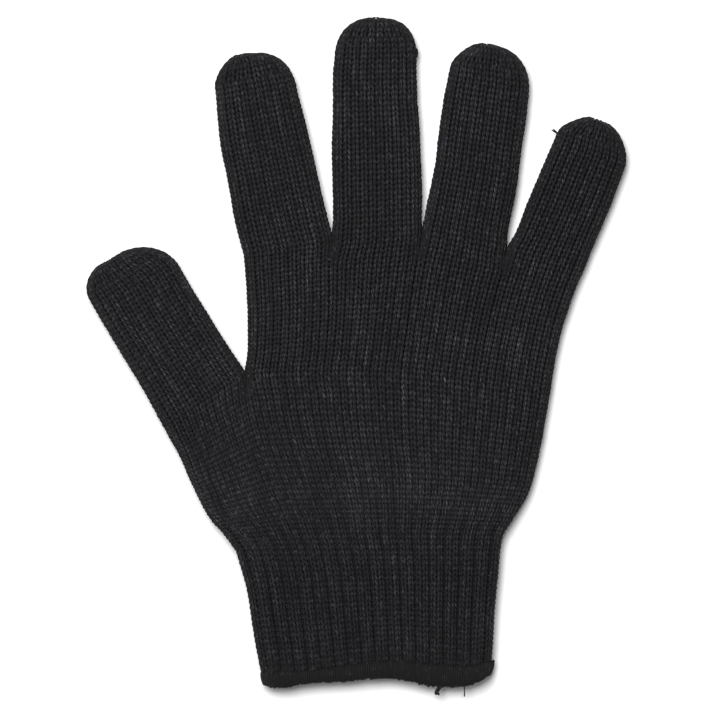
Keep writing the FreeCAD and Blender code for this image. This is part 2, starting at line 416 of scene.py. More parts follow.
# %% The surface of the palm and the cuff
DIVIDE_ROWS = 5             # rows over which the wide tube turns into the fingers' tubes
RIB = 3                     # columns in one rib: two in front and one sunk
RIB_SHARES = (0, 0.47, 0.94, 1)     # where those columns begin in the rib: the third is narrow


def patch_region(left, right, bottom, top_points, top_columns, rows, columns, rib,
                 new_columns=(), top_line=None, sway=(1, 1), left_fade=None):
    """The region of the palm or the cuff."""
    tops = np.array(top_points, float)
    lengths = np.linalg.norm(np.diff(tops, axis=0), axis=1)
    marks = np.concatenate([[0], np.cumsum(lengths)]) / lengths.sum()
    starts = np.array(top_columns, float)
    old = np.ones(columns)
    old[list(new_columns)] = 0
    grown = np.concatenate([[0], np.cumsum(old)])
    first = grown[-1]
    top_starts = np.interp(starts, np.arange(columns + 1), grown)
    slack = lengths.sum() - np.linalg.norm(tops[-1] - tops[0])
    corners = [bottom(np.array(0.0)), bottom(np.array(1.0)), tops[0], tops[-1]]

    def top(u):
        """The top line, from its left end to its right end."""
        if top_line:
            return top_line(u)
        return np.stack([np.interp(u, marks, tops[:, 0]), np.interp(u, marks, tops[:, 1])], -1)

    def share_across(x, r, e):
        """Where column x stands between the left and the right edge, from 0 to 1."""
        y = np.interp(x, np.arange(columns + 1), grown)
        y = y + np.minimum(x, 0) + np.maximum(x - columns, 0)
        even = y / first
        in_rib = np.interp(y % RIB, np.arange(RIB + 1), RIB_SHARES)
        ribbed = (np.floor(y / RIB) + in_rib) * RIB / first
        share = even + rib(r) * (ribbed - even)
        return share + np.clip(e, 0, 1) * (np.interp(y, top_starts, marks) - even)

    def surface(x, r, count):
        """The place of column x in row r, in mm."""
        v = r / rows
        e = v + (sway[0] - 1) * v * (1 - v) ** 2 - (sway[1] - 1) * v ** 2 * (1 - v)
        a, b = left(v), right(v)
        width = np.linalg.norm(b - a, axis=-1) + np.clip(v, 0, 1) * slack
        total = width + SIDE_ROLL
        across, height = rolled(share_across(x, r, e) * total, total, HALF)
        u = across / width
        if len(starts) > 2:
            k = np.clip(np.searchsorted(starts, x, side="right") - 1, 0, len(starts) - 2)
            own_total = lengths[k] + SIDE_ROLL
            part = (x - starts[k]) / (starts[k + 1] - starts[k])
            own_across, own_height = rolled(part * own_total, own_total, HALF)
            own_u = marks[k] + own_across / lengths[k] * (marks[k + 1] - marks[k])
            divided = ease((r - rows + DIVIDE_ROWS) / DIVIDE_ROWS)
            u = u + divided * (own_u - u)
            height = height + divided * (own_height - height)
        left_pull = 1 - ease(u / left_fade) if left_fade else 1 - u
        low, high = bottom(u), top(u)
        plan = [(1 - w) * low[..., i] + w * high[..., i] + pull * a[..., i] + u * b[..., i]
                - pull * (1 - w) * corners[0][i] - u * (1 - w) * corners[1][i]
                - pull * w * corners[2][i] - u * w * corners[3][i]
                for i, w, pull in ((0, e, left_pull), (1, v, 1 - u))]
        return np.stack([*plan, MIDDLE + height], -1)

    return dict(surface=surface, rows=rows, columns=columns, count=lambda row: columns,
                rim=lambda share, r: 0 * r, rib=rib, grown=grown)


print("columns in a rib:", RIB)

# %% [markdown]
# The patches share their edge lines, so that one begins exactly where another
# ends. The row of stitches that runs across the palm from the thumb's crotch
# bows up a little in its middle, because rows of knitting curve gently where a
# tube gets wider.

# %% Edge lines of the palm and the cuff
PALM_BOW = 4.3              # mm that a row across the palm bows up in the middle


def between(a, b):
    """The straight line from a to b."""
    a, b = np.asarray(a, float), np.asarray(b, float)
    return lambda t: a + (b - a) * np.asarray(t, float)[..., None]


left_low, right_low = pulled_in(PALM_LEFT_LOW, 1), pulled_in(PALM_RIGHT_LOW, -1)
left_high, right_high = pulled_in(PALM_LEFT_HIGH, 1, start=0), pulled_in(PALM_RIGHT_HIGH, -1)
cuff_left, cuff_right = pulled_in(CUFF_LEFT, 1), pulled_in(CUFF_RIGHT, -1)
ZERO, ONE = np.array(0.0), np.array(1.0)
thumb_corner, palm_corner = left_low(ONE), right_low(ONE)
index_corner, little_corner = left_high(ONE), right_high(ONE)
fork = CROTCHES["thumb_index"]


def palm_line(t):
    """The bowed row of stitches that runs across the palm from the thumb's crotch."""
    bow = PALM_BOW * np.sin(math.pi * np.asarray(t, float))
    return between(fork, palm_corner)(t) + np.stack([0 * bow, bow], -1)


def thumb_and_palm(u):
    """The top line of the lower palm: straight across the thumb, then bowed across the palm."""
    u = np.asarray(u, float)
    thumb_width = np.linalg.norm(np.subtract(fork, thumb_corner))
    palm_width = np.linalg.norm(np.subtract(palm_corner, fork))
    split = thumb_width / (thumb_width + palm_width)
    on_thumb = between(thumb_corner, fork)(u / split)
    return np.where((u < split)[..., None], on_thumb, palm_line((u - split) / (1 - split)))


def hem_top(u):
    """The line where the cuff's first row meets the hem."""
    return through(np.vstack([cuff_left(ZERO), HEM_TOP[1:-1], cuff_right(ZERO)]), u)


print("top of the bowed row, mm:", palm_line(0.5).round(1))

# %% [markdown]
# Now the eight regions are set out: the cuff, two for the palm and one for each
# finger. The cuff's ribs are full near the hem, a little softer at the wrist,
# and fade out in the heel of the palm. The hem's thread draws in the two rows
# above it, which is the cuff's own rim.

# %% The regions of the glove
CUFF_ROWS, LOWER_ROWS, UPPER_ROWS = 22, 33, 26
CUFF_COLUMNS = 54
WRIST_RIB = 0.75            # how deep the ribs still are at the wrist
WRIST_ROWS, HEEL_ROWS = 4, 13       # rows over which they soften, and then fade out
HEM_TIGHT_ROWS = 2.0        # rows above the hem that its thread draws in
palm_bottom = between(left_low(ZERO), right_low(ZERO))
regions = {
    "cuff": patch_region(
        cuff_left, cuff_right, hem_top,
        [left_low(ZERO), right_low(ZERO)], (0, CUFF_COLUMNS), CUFF_ROWS, CUFF_COLUMNS,
        rib=lambda r: WRIST_RIB + (1 - WRIST_RIB) * ease((CUFF_ROWS - r) / WRIST_ROWS)),
    "palm_lower": patch_region(
        left_low, right_low, palm_bottom,
        [thumb_corner, fork, palm_corner], (0, 14, 55), LOWER_ROWS, 55,
        rib=lambda r: WRIST_RIB * (1 - ease(r / HEEL_ROWS)), new_columns=(13,),
        top_line=thumb_and_palm, sway=(1, 0), left_fade=0.35),
    "palm_upper": patch_region(
        left_high, right_high, palm_line,
        [index_corner, CROTCHES["index_middle"], CROTCHES["middle_ring"],
         CROTCHES["ring_little"], little_corner], (0, 12, 24, 36, 47), UPPER_ROWS, 47,
        rib=lambda r: 0 * r, new_columns=(11, 12, 23, 24, 35, 36), sway=(0, 1)),
    "thumb": finger_region("thumb", thumb_corner, fork),
    "index": finger_region("index", index_corner, CROTCHES["index_middle"]),
    "middle": finger_region("middle", CROTCHES["index_middle"], CROTCHES["middle_ring"]),
    "ring": finger_region("ring", CROTCHES["middle_ring"], CROTCHES["ring_little"]),
    "little": finger_region("little", CROTCHES["ring_little"], little_corner),
}
regions["cuff"]["rim"] = lambda share, r: np.exp(-(r / HEM_TIGHT_ROWS) ** 2)
for name, region in regions.items():
    print(name, "rows", region["rows"], "columns", region["columns"])

# %% [markdown]
# The stitch. Knitting is one long yarn that loops through itself: two legs
# stand in front, and the head and the feet of the loop pass behind. The path
# below is the classic one for a plain stitch. It is worked out once, as a few
# numbers along, up and out, and every stitch of the glove is laid from it. The
# legs lean apart towards the head, and the two legs of one loop also draw
# together a little, which opens a fine dark line between one column and the
# next. The yarn is a soft tube, a little flatter than round, with five sides:
# at more than ten thousand stitches, that is enough. A painted highlight makes
# a stitch's colour lightest where its leg stands furthest out, on its crest.

# %% One stitch
STITCH_STEPS = 12
YARN_SIDES = 5
NECK = 0.14                 # how far the legs lean, wider at the head than at the foot
DRAW = 0.025                # how far the two legs of one loop draw together
LOOP_REACH = 0.80           # rows that the head and the feet reach past the row's line
LEG_LIFT = 0.66             # mm that the legs stand in front and the head lies behind
YARN_WIDE, YARN_DEEP = 0.58, 0.44
# CREST_LIGHT is the painted highlight on each leg's crest; STITCH_DARK takes tone off every stitch
# to balance it.
CREST_LIGHT, STITCH_DARK = 3.4, 1.4         # tone gained on the crest, and lost all over

turn = np.arange(STITCH_STEPS) * 2 * math.pi / STITCH_STEPS
stitch_across = turn / (2 * math.pi) + NECK * np.sin(2 * turn) + DRAW * np.sin(turn)
stitch_up = LOOP_REACH * np.cos(turn)
stitch_out = -LEG_LIFT * np.cos(2 * turn)
stitch_free = (1 - np.cos(turn)) / 2        # 1 where a stitch may differ from its neighbours
# The painted highlight: a stitch's colour is lighter the further its leg stands out.
stitch_painted_highlight = CREST_LIGHT * (stitch_out / LEG_LIFT) ** 3 - STITCH_DARK
print("one stitch:", STITCH_STEPS * YARN_SIDES, "faces")

# %% [markdown]
# The fabric is never dead flat. A few long waves, added together, make shallow
# hollows less than a millimetre deep. The ribs of the cuff stand in pairs of
# columns, with a third one sunk behind them. All that is uneven here comes from
# one seeded list of random numbers, so the glove is the same each time.

# %% Hollows and ribs
HOLLOW_DEPTH = 0.45         # mm
RIDGE_HEIGHT, FURROW_DEPTH = 0.30, 1.1      # mm that ribs stand out, and that furrows sink
FURROW_MIDDLE, FURROW_WIDTH = 2.5, 0.5      # columns, counted from the start of a rib

WAVES = 7
TIGHTNESS = (0.15, 0.42)    # radians per mm: waves 42 to 15 mm long
WAVES_STEEP = 6             # the sum of all waves is divided by this

chance = np.random.default_rng(7)
waves = [(chance.uniform(*TIGHTNESS), chance.uniform(0, math.pi), chance.uniform(0, 6.28))
         for _ in range(WAVES)]     # tightness, direction and start of each


def hollow(plan):
    """0 on the high places and 1 in the deepest hollow."""
    total = sum(np.sin(k * (plan[..., 0] * math.cos(a) + plan[..., 1] * math.sin(a)) + c)
                for k, a, c in waves)
    return np.clip(0.5 + total / WAVES_STEEP, 0, 1)


def rib_place(region, x):
    """Where column x stands in its rib, from 0 to 3."""
    return np.interp(x, np.arange(len(region["grown"])), region["grown"]) % RIB


def furrow(across):
    """1 on the sunk column of a rib."""
    return np.exp(-((across - FURROW_MIDDLE) / FURROW_WIDTH) ** 2)


def lift(region, x, r, place):
    """How far the middle of the yarn stands out of the plain surface, mm."""
    across = rib_place(region, x)
    ridge = RIDGE_HEIGHT * np.cos((across - 1) * 2 * math.pi / RIB)
    return (region["rib"](r) * (ridge - FURROW_DEPTH * furrow(across))
            - HOLLOW_DEPTH * hollow(place[..., :2]))


print("waves in the fabric:", len(waves))

# %% [markdown]
# The glove is the same above and below, as a seamless glove is. So each line
# round a tube is worked out over the upper face only and then mirrored for the
# lower one. The direction that faces outwards comes from the surface itself: a
# small step along it and a small step up it lie in the surface, and what stands
# square to both points out.

# %% A closed line round a tube
SURFACE_STEP = 0.02         # of a column and of a row


def normals(region, x, r, count):
    """The outward direction at places on a region's surface."""
    f, h = region["surface"], SURFACE_STEP
    n = np.cross(f(x + h, r, count) - f(x - h, r, count), f(x, r + h, count) - f(x, r - h, count))
    return n / np.maximum(np.linalg.norm(n, axis=-1, keepdims=True), 1e-12)


def mirrored(front):
    """A closed ring: the line over the upper face and back under the lower one."""
    back = front[-2:0:-1].copy()
    return np.concatenate([front, back])


def ring(region, x, r, count, out):
    """Points and outward directions of a closed line round the tube."""
    place = region["surface"](x, r, count)
    away = normals(region, x, r, count)
    place = place + away * (out + lift(region, x, r, place))[..., None]
    place, away = mirrored(place), mirrored(away)
    half = len(x)
    place[half:, 2] = 2 * MIDDLE - place[half:, 2]
    away[half:, 2] *= -1
    return place, away


wrist_row, _ = ring(regions["cuff"], np.arange(CUFF_COLUMNS + 1.0),
                    np.full(CUFF_COLUMNS + 1, CUFF_ROWS), CUFF_COLUMNS, 0.0)
print("round the wrist, mm:", round(np.linalg.norm(np.diff(wrist_row, axis=0), axis=1).sum()))

# %% [markdown]
# One row of stitches is one closed ring of yarn. Ten thousand loops are too
# many to place by hand, and a bevelled curve turns its section over in tight
# bends. So the tube is made by walking along the path and placing a small ring
# of points at each step, held upright by the outward direction. Each face also
# remembers how far along the yarn it is and where it sits around it, which the
# twist of the yarn follows later.

# %% A tube of yarn


def tube(path, away, wide, deep, sides=YARN_SIDES):
    """Points, faces and yarn coordinates of a closed tube along a path."""
    go = np.roll(path, -1, 0) - np.roll(path, 1, 0)
    go /= np.maximum(np.linalg.norm(go, axis=1, keepdims=True), 1e-9)
    side = np.cross(go, away)
    side /= np.maximum(np.linalg.norm(side, axis=1, keepdims=True), 1e-9)
    out = np.cross(side, go)
    angle = np.arange(sides) * 2 * math.pi / sides
    outward = out[:, None] * (np.cos(angle)[None, :] * deep[:, None])[..., None]
    sideways = side[:, None] * (np.sin(angle)[None, :] * wide[:, None])[..., None]
    points = (path[:, None] + outward + sideways).reshape(-1, 3)
    i, k = np.arange(len(path))[:, None], np.arange(sides)[None, :]
    j, l = (i + 1) % len(path), (k + 1) % sides
    faces = np.stack([i * sides + k, i * sides + l, j * sides + l, j * sides + k], -1)
    steps = np.linalg.norm(np.roll(path, -1, 0) - path, axis=1)
    length = np.concatenate([[0], np.cumsum(steps)])
    start, stop = length[:-1, None] + 0 * k, length[1:, None] + 0 * k
    near, far = k / sides + 0 * i, (k + 1) / sides + 0 * i
    corners = ((start, near), (start, far), (stop, far), (stop, near))
    marks = np.stack([np.stack(corner, -1) for corner in corners], 2)
    return points, faces.reshape(-1, 4), marks.reshape(-1, 2)


print("sides of the yarn:", YARN_SIDES)

# %% [markdown]
# Black yarn is not one black. Some legs of a column catch more light than
# others for several rows, which gives fine lighter streaks along it. Just below
# each crotch, where two fingers part, the stitches are pulled in to a small
# gather in a fold, and painted shade darkens it. These two helpers say where.

# %% Light streaks and the gathers' painted shade
RUN_ON, FRESH = 0.86, 0.51          # what the next row keeps of a streak, and what is new
SLOW_PART, QUICK_PART = 0.75, 0.65  # tone from the streaks, and from each leg by itself
GATHER_WIDTH, GATHER_LENGTH = 2.9, 5.2      # mm from its middle to its sides and ends
GATHER_BELOW = 3.6          # mm from the crotch down to its middle
CROTCH_POINTS = np.array(list(CROTCHES.values()))


def streaks(rows, columns):
    """How light each leg of each stitch is: runs of rows along one column share it."""
    slow = chance.normal(0, 1, (rows, columns * 2))
    for row in range(1, rows):
        slow[row] = RUN_ON * slow[row - 1] + FRESH * slow[row]
    return SLOW_PART * slow + QUICK_PART * chance.normal(0, 1, (rows, columns * 2))


def gather(place):
    """How much a place belongs to the gathers just below a crotch, which are drawn in and get
    painted shade.
    """
    deep = 0 * place[..., 0]
    for cx, cy in CROTCH_POINTS:
        across, below = place[..., 0] - cx, cy - place[..., 1]
        deep = np.maximum(deep, np.exp(-(across / GATHER_WIDTH) ** 4
                                       - ((below - GATHER_BELOW) / GATHER_LENGTH) ** 4))
    return deep


for region in regions.values():
    region["streaks"] = streaks(region["rows"], region["columns"])
print("gathers:", len(CROTCH_POINTS))

# %% [markdown]
# Now one row can be laid. It starts from the plain stitch, repeated over the
# upper face. Where stitches are narrow they are also low and thin. Then come the
# small differences: real stitches are never equal, so each is a little fuller
# or tighter. In a gather, at the side edges and on a rim the loops lie flatter,
# and their yarn is a little fuller, so that no gap opens there. Painted shade
# darkens a gather, the side rolls and the ribs' sunk furrows, a rim is coloured
# darker, and a painted highlight lightens the crests of the legs.

# %% One row of stitches
LEAST_STITCH = 0.24         # mm; narrower stitches are left out
FULL_STITCH = 1.7           # mm; from this width on, a stitch has its full height
LEAST_ROOM, LEAST_YARN = 0.12, 0.62         # shares of the full height and thickness
HEIGHT_VARIES, LIFT_VARIES, YARN_VARIES = 0.05, 0.07, 0.045
EDGE_COLUMNS = 0.9          # how far a side edge is felt
FLATTER = {"gather": 0.85, "edge": 0.55, "rim": 0.45}
# How much tone is taken off: painted shade in a gather, on the side rolls and in a rib's furrow,
# and a darker rim.
DARKER = {"gather": 3.2, "edge": 1.2, "rim": 2.1, "furrow": 3.0}
FULLER = 0.25               # in a gather and on a rim
# The ribs get less of the painted highlight on their crests.
RIB_CALM = 0.45             # how much less the crests stand out in the ribs


def course(region, row):
    """One ring of stitches."""
    count = region["count"](row)
    edges = region["surface"](np.arange(count + 1.0), np.full(count + 1, row + 0.5), count)
    wide = np.linalg.norm(np.diff(edges, axis=0), axis=1)
    varied = chance.normal(0, 1, (3, count))
    kept = np.flatnonzero(wide > LEAST_STITCH)

    def repeated(stitch):
        return np.append(np.tile(stitch, len(kept)), stitch[0])

    x = np.append((kept[:, None] + stitch_across).ravel(), count)
    room = np.interp(x, kept + 0.5, np.clip(wide[kept] / FULL_STITCH, LEAST_ROOM, 1))
    own = np.repeat(varied[:, kept], STITCH_STEPS, axis=1)
    own = np.concatenate([own, own[:, -1:]], axis=1) * repeated(stitch_free)
    r = row + 0.5 + repeated(stitch_up) * room * (1 + HEIGHT_VARIES * own[0])

    # Where the gathers lie: their stitches are drawn in, and they get painted shade.
    gather_and_shade = gather(region["surface"](x, r, count))
    # The side edges, whose rolls get painted shade.
    edge = np.exp(-(np.minimum(x, count - x) / EDGE_COLUMNS) ** 2)
    rim = region["rim"](x / count, r)
    flat = ((1 - FLATTER["gather"] * gather_and_shade) * (1 - FLATTER["edge"] * edge)
            * (1 - FLATTER["rim"] * rim))
    out = repeated(stitch_out) * room * flat + LIFT_VARIES * own[1]
    place, away = ring(region, x, r, count, out)
    size = mirrored(np.maximum(room, LEAST_YARN)
                    * (1 + YARN_VARIES * own[2] + FULLER * gather_and_shade + FULLER * rim))

    leg = np.minimum(np.floor(x * 2).astype(int), 2 * count - 1)
    ribbed = region["rib"](r)
    # Painted highlight on the legs' crests, none in a gather and less in the ribs.
    painted_highlight = repeated(stitch_painted_highlight) * (1 - gather_and_shade) * (1 - RIB_CALM * ribbed)
    # Tone: random streaks, the painted highlight, painted shade in the gathers, on the side rolls
    # and in the ribs' furrows, and a darker rim.
    tone = mirrored(region["streaks"][row][leg] + painted_highlight - DARKER["gather"] * gather_and_shade
                    - DARKER["edge"] * edge - DARKER["rim"] * rim
                    - DARKER["furrow"] * (ribbed * furrow(rib_place(region, x))))
    return (*tube(place, away, YARN_WIDE * size, YARN_DEEP * size), np.repeat(tone, YARN_SIDES))


print("a plain stitch is at least", FULL_STITCH, "mm wide")

# %% [markdown]
# Behind the outer loops lies a second, finer yarn that is knitted in at the
# same time, so that the glove is opaque and soft inside. Its own loops are never
# seen one by one, so it is made as a thin dark lining: a sheet that follows the
# stitches just behind them.

# %% The lining behind the stitches
LINING_DEPTH = 1.15         # mm from the middle of the yarn in to the lining


def lining(region, low, high):
    """A closed-round sheet just behind the stitches from one row to another."""
    n = region["columns"]
    levels = np.linspace(low, high, int(round((high - low) * 2)) + 1)
    x = np.arange(2 * n + 1) / 2
    rings = [ring(region, x, np.full(len(x), r), n, -LINING_DEPTH)[0] for r in levels]
    around = len(rings[0])
    points = np.concatenate(rings)
    i = np.arange(len(levels) - 1)[:, None] * around
    k = np.arange(around)[None, :]
    l = (k + 1) % around
    faces = np.stack([i + k, i + l, i + around + l, i + around + k], -1).reshape(-1, 4)
    marks = np.stack([points[faces.ravel(), 0], points[faces.ravel(), 1]], -1)
    return points, faces, marks


print("lining inside a face, mm:", round(HALF - LINING_DEPTH, 2), "from the middle")

# %% [markdown]
# Blender's own mesh is made from the collected rings in one go, which is far
# quicker than adding them one by one. The points are counted on, so that each
# ring's faces point to its own points. The yarn coordinates become a UV map and
# the tone of each stitch an attribute, and both are read by the finish.

# %% From rings to a mesh


def make_mesh(name, parts, finishes):
    """parts are (points, faces, marks, finish number, tone of each point)."""
    points = np.concatenate([p[0] for p in parts]) * MM
    starts = np.cumsum([0] + [len(p[0]) for p in parts[:-1]])
    faces = np.concatenate([p[1] + s for p, s in zip(parts, starts)])
    marks = np.concatenate([p[2] for p in parts])
    finish = np.concatenate([np.full(len(p[1]), p[3]) for p in parts])
    mesh = bpy.data.meshes.new(name)
    mesh.vertices.add(len(points))
    mesh.vertices.foreach_set("co", points.astype(np.float32).ravel())
    mesh.loops.add(faces.size)
    mesh.loops.foreach_set("vertex_index", faces.astype(np.int32).ravel())
    mesh.polygons.add(len(faces))
    mesh.polygons.foreach_set("loop_start", np.arange(0, faces.size, 4, dtype=np.int32))
    mesh.polygons.foreach_set("material_index", finish.astype(np.int32))
    mesh.update(calc_edges=True)
    mesh.validate()
    mesh.uv_layers.new(name="yarn").data.foreach_set("uv", marks.astype(np.float32).ravel())
    tone = np.concatenate([np.broadcast_to(p[4], len(p[0])) for p in parts])
    mesh.attributes.new("tone", "FLOAT", "POINT").data.foreach_set("value", tone.astype(np.float32))
    mesh.shade_smooth()
    for one in finishes:
        mesh.materials.append(one)
    thing = bpy.data.objects.new(name, mesh)
    bpy.context.collection.objects.link(thing)
    return thing


print("a piece carries the UV map yarn and the attribute tone")

# %% [markdown]
# A finish in Blender is a tree of small nodes. Four helpers add a node, do sums,
# make a noise pattern and mix two colours, so that the finish below reads like
# a recipe.

# %% Helpers for shader nodes


def add(tree, kind, **values):
    """A new node with some of its settings."""
    node = tree.nodes.new(kind)
    for key, value in values.items():
        setattr(node, key, value)
    return node


def maths(tree, operation, a, b=None):
    """The result of a sum; a and b are numbers or other results."""
    node = add(tree, "ShaderNodeMath", operation=operation)
    for socket, value in zip(node.inputs, (a, b)):
        if isinstance(value, (int, float)):
            socket.default_value = value
        elif value is not None:
            tree.links.new(value, socket)
    return node.outputs[0]


def noise(tree, vector, scale, detail, rough):
    """A cloudy pattern between 0 and 1."""
    node = add(tree, "ShaderNodeTexNoise")
    node.inputs["Scale"].default_value = scale
    node.inputs["Detail"].default_value = detail
    node.inputs["Roughness"].default_value = rough
    tree.links.new(vector, node.inputs["Vector"])
    return node.outputs["Fac"]


def mix(tree, factor, a, b):
    """A colour between a and b."""
    node = add(tree, "ShaderNodeMix", data_type="RGBA")
    for socket, value in (("Factor", factor), (6, a), (7, b)):
        tree.links.new(value, node.inputs[socket])
    return node.outputs[2]


print("node helpers:", add.__name__, maths.__name__, noise.__name__, mix.__name__)

# %% [markdown]
# The yarn's finish. Cut-resistant yarn is black fibre twisted around fine
# steel and glass threads, so it is nearly black, a little hairy, and it shows
# small grey glints. All yarns of the glove share that, so it is one shader
# group with named inputs: where the surface is, its colours, how tightly it is
# twisted and how light the stitch is. Only values that change over the surface
# leave the group.

# %% The yarn group's inputs and outputs
yarn_group = bpy.data.node_groups.new("twisted_yarn", "ShaderNodeTree")
YARN_SOCKETS = (("Along and around", "INPUT", "Vector"), ("Place", "INPUT", "Vector"),
                ("Dark", "INPUT", "Color"), ("Light", "INPUT", "Color"),
                ("Glint", "INPUT", "Color"), ("Twists per mm", "INPUT", "Float"),
                ("Tone", "INPUT", "Float"), ("Color", "OUTPUT", "Color"),
                ("Roughness", "OUTPUT", "Float"), ("Height", "OUTPUT", "Float"))
for name, way, kind in YARN_SOCKETS:
    yarn_group.interface.new_socket(name, in_out=way, socket_type=f"NodeSocket{kind}")
g_in, g_out = add(yarn_group, "NodeGroupInput"), add(yarn_group, "NodeGroupOutput")
print("sockets:", len(yarn_group.interface.items_tree))

# %% [markdown]
# The plies wind round the yarn: how far along it a point is and where it sits
# around it add up to a phase, and a sine of that phase is high on a ply and low
# between two. Stretched noise in the same phase makes the single fibres. Both
# together are the relief of the yarn.

# %% Plies and fibres
PLIES = 3.0
FIBRES_PER_PLY, FIBRE_STRETCH = 5.0, 0.7
FIBRE_NOISE = (2.6, 3.0, 0.6)       # scale, detail and roughness
PLY_RELIEF, FIBRE_RELIEF = 0.7, 0.6         # how much each adds to the height

split = add(yarn_group, "ShaderNodeSeparateXYZ")
yarn_group.links.new(g_in.outputs["Along and around"], split.inputs[0])
turns = maths(yarn_group, "MULTIPLY", split.outputs[0], g_in.outputs["Twists per mm"])
phase = maths(yarn_group, "ADD", turns, maths(yarn_group, "MULTIPLY", split.outputs[1], PLIES))
wave = maths(yarn_group, "SINE", maths(yarn_group, "MULTIPLY", phase, 2 * math.pi))
plies = maths(yarn_group, "MULTIPLY_ADD", wave, 0.5)
plies.node.inputs[2].default_value = 0.5
threads = add(yarn_group, "ShaderNodeCombineXYZ")
stretched = maths(yarn_group, "MULTIPLY", split.outputs[0], FIBRE_STRETCH)
yarn_group.links.new(stretched, threads.inputs[0])
yarn_group.links.new(maths(yarn_group, "MULTIPLY", phase, FIBRES_PER_PLY), threads.inputs[1])
fibres = noise(yarn_group, threads.outputs[0], *FIBRE_NOISE)
height = maths(yarn_group, "ADD", maths(yarn_group, "MULTIPLY", plies, PLY_RELIEF),
               maths(yarn_group, "MULTIPLY", fibres, FIBRE_RELIEF))
yarn_group.links.new(height, g_out.inputs["Height"])
print("group nodes so far:", len(yarn_group.nodes))

# %% [markdown]
# The colour runs from dark to light by the fibres and by wide soft patches, and
# it is painted light on the plies and painted shade between them. Each step of
# tone, which carries the stitches' painted highlight and shade, makes it lighter
# by the same factor, as the eye sees it. Where a fibre and a fine speck meet, the
# steel thread shows: a grey and smoother glint.
# thread shows: a grey and smoother glint.

# %% Colour and glints
PATCH_NOISE = (55.0, 2.0, 0.5)      # the patches are some millimetres wide
SPECK_NOISE = (620.0, 1.0, 0.5)
FIBRE_LIGHT, PATCH_LIGHT = 0.6, 0.5
TONE_STEP = 1.55            # times lighter for each step of tone
SPECK_FROM, FIBRE_FROM = 0.64, 0.55         # where specks and fibres are bright enough
ROUGH, GLINT_SMOOTHER = 0.78, 0.3

patches = noise(yarn_group, g_in.outputs["Place"], *PATCH_NOISE)
specks = noise(yarn_group, g_in.outputs["Place"], *SPECK_NOISE)
shade = maths(yarn_group, "ADD", maths(yarn_group, "MULTIPLY", fibres, FIBRE_LIGHT),
              maths(yarn_group, "MULTIPLY", patches, PATCH_LIGHT))
# Painted light and shade: lighter on the plies, darker between them, times the tone with its
# painted highlight and shade.
lit = maths(yarn_group, "MULTIPLY", maths(yarn_group, "MULTIPLY", shade, plies),
            maths(yarn_group, "POWER", TONE_STEP, g_in.outputs["Tone"]))
body_colour = mix(yarn_group, lit, g_in.outputs["Dark"], g_in.outputs["Light"])
body_colour.node.clamp_factor = False
steel = maths(yarn_group, "MULTIPLY", maths(yarn_group, "GREATER_THAN", specks, SPECK_FROM),
              maths(yarn_group, "GREATER_THAN", fibres, FIBRE_FROM))
yarn_group.links.new(mix(yarn_group, steel, body_colour, g_in.outputs["Glint"]),
                     g_out.inputs["Color"])
rough = maths(yarn_group, "SUBTRACT", ROUGH, maths(yarn_group, "MULTIPLY", steel, GLINT_SMOOTHER))
yarn_group.links.new(rough, g_out.inputs["Roughness"])
print("group nodes:", len(yarn_group.nodes))

# %% [markdown]
# Each yarn is the group with its own colours and twist. The fuzz gives it a
# faint sheen, which is the same all over and so is a plain number on the shader
# itself. The twist also reaches the shader as a small bump.

# %% Yarn finishes
BUMP_HEIGHT = 0.0002        # metres
YARN_SHINE, FUZZ_SHEEN, FUZZ_SPREAD = 0.14, 0.03, 0.4


def yarn_finish(name, dark, light, glint, twists=0.45, bump=0.6):
    """A yarn material made from the group."""
    material = bpy.data.materials.new(name)
    material.use_nodes = True
    tree = material.node_tree
    shader = tree.nodes["Principled BSDF"]
    group = add(tree, "ShaderNodeGroup", node_tree=yarn_group)
    uv = add(tree, "ShaderNodeUVMap", uv_map="yarn")
    where = add(tree, "ShaderNodeTexCoord")
    tone = add(tree, "ShaderNodeAttribute", attribute_name="tone")
    tree.links.new(uv.outputs["UV"], group.inputs["Along and around"])
    tree.links.new(where.outputs["Object"], group.inputs["Place"])
    tree.links.new(tone.outputs["Fac"], group.inputs["Tone"])
    for colour_name, colour in (("Dark", dark), ("Light", light), ("Glint", glint)):
        group.inputs[colour_name].default_value = (*colour, 1)
    group.inputs["Twists per mm"].default_value = twists
    tree.links.new(group.outputs["Color"], shader.inputs["Base Color"])
    tree.links.new(group.outputs["Roughness"], shader.inputs["Roughness"])
    relief = add(tree, "ShaderNodeBump")
    relief.inputs["Strength"].default_value = bump
    relief.inputs["Distance"].default_value = BUMP_HEIGHT
    tree.links.new(group.outputs["Height"], relief.inputs["Height"])
    tree.links.new(relief.outputs["Normal"], shader.inputs["Normal"])
    shader.inputs["Specular IOR Level"].default_value = YARN_SHINE
    shader.inputs["Sheen Weight"].default_value = FUZZ_SHEEN
    shader.inputs["Sheen Roughness"].default_value = FUZZ_SPREAD
    return material


knit_finish = yarn_finish(
    "knit_yarn", (0.0052, 0.0051, 0.0059), (0.0222, 0.0218, 0.0257), (0.058, 0.058, 0.062))
lining_finish = yarn_finish(
    "lining_yarn", (0.010, 0.010, 0.0108), (0.020, 0.020, 0.0214), (0.026, 0.026, 0.027))
print("finishes:", knit_finish.name, lining_finish.name)

# %% [markdown]
# Now the glove is knitted piece by piece. A piece is as many rows as lie around
# one joint, and it takes the name of the body beyond that joint; its place is
# baked into its mesh, and it rides on no body. The rows on both sides of a cut
# meet exactly, so the cuts are not seen. FOLDS says how far back from the tip, in
# mm, each fold starts and stops. A cut lies half-way between two folds.

